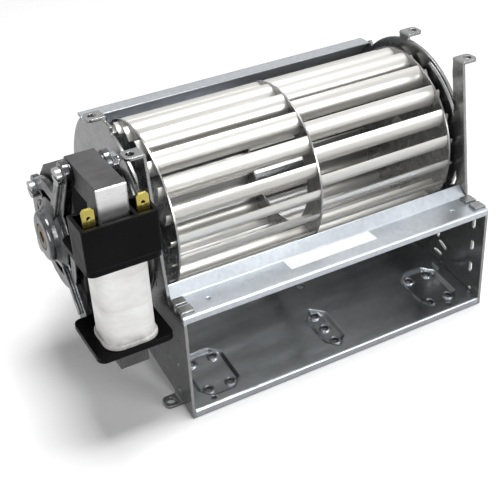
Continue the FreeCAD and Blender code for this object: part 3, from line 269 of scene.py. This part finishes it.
def blank_paper():
    """Paper of the blank sticker."""
    look = Look("paper_label")
    return look.set(color=look.ramp(look.noise(200, 3, 0.6), (0.71, 0.715, 0.72), (0.78, 0.78, 0.785)),
                    rough=look.ramp(look.noise(90, 2, 0.5), 0.42, 0.55))


BARE_FACE_DEPTH = 0.2 * MM
limb_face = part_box("coil_limb")[0][1] + BARE_FACE_DEPTH

finishes = (
    zinc_sheet("galvanised_sheet", (0.41, 0.43, 0.455), (0.46, 0.48, 0.505), (0.15, 0.27), 0.9 * MM,
               painted_light_above=60 * MM),
    # Painted shade: the end plates take a darker, greyer copy of the galvanised sheet.
    zinc_sheet("painted_shade_sheet", (0.28, 0.283, 0.278), (0.34, 0.343, 0.337), (0.18, 0.32), 0.4 * MM),
    # Painted light: the shelf takes a lighter copy of the galvanised sheet.
    zinc_sheet("painted_light_sheet", (0.50, 0.535, 0.575), (0.57, 0.605, 0.645), (0.28, 0.42), 0.5 * MM),
    blade_strip(),
    bare_metal("disc_steel", (0.27, 0.27, 0.268), (0.38, 0.38, 0.375), (0.22, 0.34)),
    bare_metal("bright_steel", (0.62, 0.62, 0.63), (0.74, 0.74, 0.74), (0.18, 0.3)),
    bare_metal("sintered_bronze", (0.16, 0.13, 0.095), (0.26, 0.21, 0.15), (0.4, 0.55)),
    moulding("black_rubber", (0.012, 0.012, 0.013), (0.02, 0.02, 0.021), (0.55, 0.7)),
    lacquered_stack("lacquered_laminations"),
    lacquered_stack("bare_laminations", limb_face),
    bare_metal("rotor_steel", (0.3, 0.3, 0.31), (0.42, 0.42, 0.43), (0.3, 0.45)),
    # The casting's tone is mottled from near black to grey: partly its own uneven tone, partly painted
    # reflection.
    bare_metal("diecast_zinc", (0.018, 0.0185, 0.02), (0.205, 0.21, 0.215), (0.10, 0.24),
               metal=1.0, grain=95, depth=0.5 * MM, round_edge=0.7 * MM),
    bare_metal("zinc_plated_screws", (0.34, 0.345, 0.35), (0.42, 0.42, 0.43), (0.18, 0.26)),
    bare_metal("copper_rings", (0.42, 0.20, 0.12), (0.58, 0.31, 0.2), (0.3, 0.5)),
    moulding("black_nylon", (0.002, 0.002, 0.0024), (0.004, 0.004, 0.0048), (0.30, 0.44), specular=0.07),
    winding_tape(),
    bare_metal("terminal_brass", (0.46, 0.38, 0.09), (0.60, 0.50, 0.15), (0.14, 0.26)),
    blank_paper(),
)
looks = dict(finishes)

slots = {row["node"]: row["material_slot"] for row in frame["record"]["subparts"]}
# The shelf and the end plates take lighter and darker copies of the galvanised sheet: painted light and
# painted shade.
own_finishes = {
    "stabiliser_shelf": "painted_light_sheet",
    "left_end_plate": "painted_shade_sheet",
    "right_end_plate": "painted_shade_sheet",
}
for name, piece in nodes.items():
    piece.data.materials.clear()
    piece.data.materials.append(looks[own_finishes.get(name, slots[name])])

# Softened edges of the CAD pieces, for the render only
EDGE_WIDTHS = {
    "left_end_plate": 0.25 * MM,
    "right_end_plate": 0.25 * MM,
    "scroll_sheet": 0.5 * MM,
    "stabiliser_shelf": 0.3 * MM,
    "outer_bracket": 0.35 * MM,
    "inner_bracket": 0.35 * MM,
    "bobbin": 0.3 * MM,
    "stator_core": 0.2 * MM,
    "coil_limb": 0.45 * MM,
    "left_terminal": 0.12 * MM,
    "right_terminal": 0.12 * MM,
}
EDGE_SEGMENTS, EDGE_PROFILE, EDGE_TURN = 2, 0.55, math.radians(24)
for name, width in EDGE_WIDTHS.items():
    edge_round = nodes[name].modifiers.new("edge_round", "BEVEL")
    edge_round.width = width
    edge_round.segments = EDGE_SEGMENTS
    edge_round.profile = EDGE_PROFILE
    edge_round.limit_method = "ANGLE"
    edge_round.angle_limit = EDGE_TURN
    edge_round.harden_normals = False
    edge_round.miter_outer = "MITER_ARC"

# Blades of the wheel
BLADE_COUNT = 20
BLADE_GAUGE, BLADE_MARGIN, BLADE_STAGGER = 0.5 * MM, 0.5 * MM, 9.0
BLADE_DEPTH, BLADE_CAMBER, TIP_LAG, ROOT_LEAD = 5.2 * MM, 4.6 * MM, 7.4, 3.6
TAB_STAND_OUT, TAB_SHARE = 1.8 * MM, 0.46
TAB_DEPTH, TAB_CAMBER, TAB_TIP_LAG, TAB_ROOT_LEAD = 6.8 * MM, 6.2 * MM, 9.0, 6.0
CURVE_STEPS, SMOOTH_UNDER = 10, math.radians(40)


def polar(axis, radius, degrees):
    """A point (y, z) round the wheel's axis."""
    angle = math.radians(degrees)
    return Vector((axis[0] + radius * math.cos(angle), axis[1] + radius * math.sin(angle)))


def curved_strip(start, stop, tip, root, camber, share):
    """A strip along X whose section is the middle share of an arc from root to tip, both (y, z)."""
    chord = tip - root
    normal = Vector((-chord.y, chord.x)).normalized()
    centre = (tip + root) / 2 - normal * math.sqrt(camber ** 2 - chord.length_squared / 4)
    arm = root - centre
    sweep = arm.angle_signed(tip - centre)
    arm.rotate(Matrix.Rotation(-sweep * (1 - share) / 2, 2))
    edge = centre + arm
    length = stop - start
    bpy.ops.object.select_all(action="DESELECT")
    bpy.ops.mesh.primitive_plane_add(size=length, location=((start + stop) / 2, edge.x + length / 2, edge.y))
    strip = bpy.context.object
    bpy.ops.object.mode_set(mode="EDIT")
    bpy.ops.mesh.select_all(action="DESELECT")
    mesh = bmesh.from_edit_mesh(strip.data)
    for corner in mesh.verts:
        corner.select = corner.co.y > 0
    mesh.select_flush_mode()
    bmesh.update_edit_mesh(strip.data)
    bpy.ops.mesh.delete(type="VERT")
    bpy.ops.mesh.select_all(action="SELECT")
    bpy.ops.mesh.spin(steps=CURVE_STEPS, angle=sweep * share, center=(start, centre.x, centre.y),
                      axis=(1, 0, 0))
    bpy.ops.mesh.select_all(action="SELECT")
    bpy.ops.mesh.normals_make_consistent(inside=False)
    bpy.ops.object.mode_set(mode="OBJECT")
    return strip


def blade_ring(name, node, start, stop, outside, turn):
    """One half of the wheel's blades, with the narrower tabs that run through the end disc."""
    rim_low, rim_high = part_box("left_end_disc")
    axis = ((rim_low[1] + rim_high[1]) / 2, (rim_low[2] + rim_high[2]) / 2)
    tip_radius = (rim_high[1] - rim_low[1]) / 2 - BLADE_MARGIN
    blade = curved_strip(start, stop, polar(axis, tip_radius, turn - TIP_LAG),
                         polar(axis, tip_radius - BLADE_DEPTH, turn + ROOT_LEAD), BLADE_CAMBER, 1.0)
    tab = curved_strip(*outside, polar(axis, tip_radius, turn - TAB_TIP_LAG),
                       polar(axis, tip_radius - TAB_DEPTH, turn + TAB_ROOT_LEAD), TAB_CAMBER, TAB_SHARE)
    tab.select_set(True)
    blade.select_set(True)
    bpy.context.view_layer.objects.active = blade
    bpy.ops.object.join()
    blade.name = name
    bpy.ops.object.mode_set(mode="EDIT")
    bpy.ops.mesh.select_all(action="SELECT")
    bpy.ops.mesh.spin(steps=BLADE_COUNT - 1, angle=math.tau * (BLADE_COUNT - 1) / BLADE_COUNT, dupli=True,
                      center=(start, *axis), axis=(1, 0, 0))
    bpy.ops.object.mode_set(mode="OBJECT")
    bpy.ops.object.transform_apply(location=True, rotation=True, scale=True)
    wall = blade.modifiers.new("gauge", "SOLIDIFY")
    wall.thickness = BLADE_GAUGE
    wall.offset = 0
    bpy.ops.object.modifier_apply(modifier=wall.name)
    bpy.ops.object.shade_smooth_by_angle(angle=SMOOTH_UNDER)
    blade.data.materials.append(looks[slots[node]])
    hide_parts(node)
    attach(blade, "impeller")


left_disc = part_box("left_end_disc")
middle_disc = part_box("middle_disc")
right_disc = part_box("right_end_disc")
blade_ring("left_blade_ring", "left_blades", left_disc[1][0], middle_disc[0][0],
           (left_disc[0][0] - TAB_STAND_OUT, left_disc[1][0]), 0.0)
blade_ring("right_blade_ring", "right_blades", middle_disc[1][0], right_disc[0][0],
           (right_disc[0][0], right_disc[1][0] + TAB_STAND_OUT), BLADE_STAGGER)

# Floor, white to the camera and a little greyer to the object
FLOOR_SIZE, FLOOR_BACK, FLOOR_DROP = 8.0, 1.0, 0.2 * MM
FLOOR_TO_OBJECT, FLOOR_TO_CAMERA, FLOOR_GLOW = 0.80, 0.99, 0.075
bpy.ops.mesh.primitive_plane_add(size=FLOOR_SIZE, location=(0, FLOOR_BACK, -FLOOR_DROP))
floor = bpy.context.object
floor.name = "floor"
paper = bpy.data.materials.new("floor_paper")
paper.use_nodes = True
tree = paper.node_tree
shader = tree.nodes["Principled BSDF"]
shader.inputs["Roughness"].default_value = 0.9
shader.inputs["Specular IOR Level"].default_value = 0.1
rays = tree.nodes.new("ShaderNodeLightPath")
tone = tree.nodes.new("ShaderNodeMapRange")
tone.inputs["To Min"].default_value = FLOOR_TO_OBJECT
tone.inputs["To Max"].default_value = FLOOR_TO_CAMERA
tree.links.new(rays.outputs["Is Camera Ray"], tone.inputs["Value"])
tree.links.new(tone.outputs["Result"], shader.inputs["Base Color"])
glow = tree.nodes.new("ShaderNodeMath")
glow.operation = "MULTIPLY"
glow.inputs[1].default_value = FLOOR_GLOW
tree.links.new(rays.outputs["Is Camera Ray"], glow.inputs[0])
shader.inputs["Emission Color"].default_value = (1, 1, 1, 1)
tree.links.new(glow.outputs[0], shader.inputs["Emission Strength"])
floor.data.materials.append(paper)

# World: soft light that fades to the right, and white to the camera and in reflections
WORLD_LEFT, WORLD_RIGHT = 0.16, 0.04
world = bpy.data.worlds.new("studio")
scene.world = world
world.use_nodes = True
tree = world.node_tree
tree.nodes.clear()
direction = tree.nodes.new("ShaderNodeTexCoord")
split = tree.nodes.new("ShaderNodeSeparateXYZ")
tree.links.new(direction.outputs["Generated"], split.inputs[0])
fade = tree.nodes.new("ShaderNodeMapRange")
fade.inputs["From Min"].default_value = -1
fade.inputs["To Min"].default_value = WORLD_LEFT
fade.inputs["To Max"].default_value = WORLD_RIGHT
tree.links.new(split.outputs["X"], fade.inputs["Value"])
soft = tree.nodes.new("ShaderNodeBackground")
soft.inputs["Color"].default_value = (0.98, 0.99, 1, 1)
tree.links.new(fade.outputs["Result"], soft.inputs["Strength"])
white = tree.nodes.new("ShaderNodeBackground")
white.inputs["Color"].default_value = (1, 1, 1, 1)
white.inputs["Strength"].default_value = 1.0
rays = tree.nodes.new("ShaderNodeLightPath")
seen = rays.outputs["Is Camera Ray"]
for kind in ("Is Glossy Ray", "Is Transmission Ray"):
    either = tree.nodes.new("ShaderNodeMath")
    either.operation = "MAXIMUM"
    tree.links.new(seen, either.inputs[0])
    tree.links.new(rays.outputs[kind], either.inputs[1])
    seen = either.outputs[0]
blend = tree.nodes.new("ShaderNodeMixShader")
out = tree.nodes.new("ShaderNodeOutputWorld")
tree.links.new(seen, blend.inputs["Fac"])
tree.links.new(soft.outputs[0], blend.inputs[1])
tree.links.new(white.outputs[0], blend.inputs[2])
tree.links.new(blend.outputs[0], out.inputs["Surface"])

# Lamps: place, width and height in metres, power in watts
LAMPS = {
    "key_light": ((0.12, 0.04, 1.10), 0.44, 0.44, 11.2),
    "front_light": ((0.40, -0.88, 0.36), 0.5, 0.4, 5.4),
    "left_fill": ((-0.90, -0.16, 0.15), 0.45, 0.25, 2.5),
}
LAMP_AIM = Vector((-0.01, 0.045, 0.045))
for name, (place, width, height, power) in LAMPS.items():
    light = bpy.data.lights.new(name, "AREA")
    light.shape = "RECTANGLE"
    light.size = width
    light.size_y = height
    light.energy = power
    lamp = bpy.data.objects.new(name, light)
    scene.collection.objects.link(lamp)
    lamp.location = place
    lamp.rotation_euler = (LAMP_AIM - Vector(place)).to_track_quat("-Z", "Y").to_euler()

# Camera, fitted to the photograph
PLACE = Vector((-0.15198, -0.22809, 0.22531))
AZIMUTH, ELEVATION, ROLL = (math.radians(v) for v in (-27.154, 33.265, -3.213))
FOCAL_PIXELS, PICTURE_PIXELS, SENSOR_WIDTH = 1011.04, 500, 36
NEAREST, FARTHEST = 0.01, 20
level = math.cos(ELEVATION)
back = Vector((math.sin(AZIMUTH) * level, -math.cos(AZIMUTH) * level, math.sin(ELEVATION)))
right = Vector((math.cos(AZIMUTH), math.sin(AZIMUTH), 0))
up = back.cross(right)
rolled_right = right * math.cos(ROLL) + up * math.sin(ROLL)
rolled_up = up * math.cos(ROLL) - right * math.sin(ROLL)
turned = Matrix((rolled_right, rolled_up, back)).transposed()
camera = bpy.data.objects.new("camera", bpy.data.cameras.new("camera"))
scene.collection.objects.link(camera)
camera.matrix_world = Matrix.Translation(PLACE) @ turned.to_4x4()
camera.data.sensor_width = SENSOR_WIDTH
camera.data.lens = SENSOR_WIDTH * FOCAL_PIXELS / PICTURE_PIXELS
camera.data.clip_start = NEAREST
camera.data.clip_end = FARTHEST
scene.camera = camera
scene.view_settings.view_transform = "Standard"
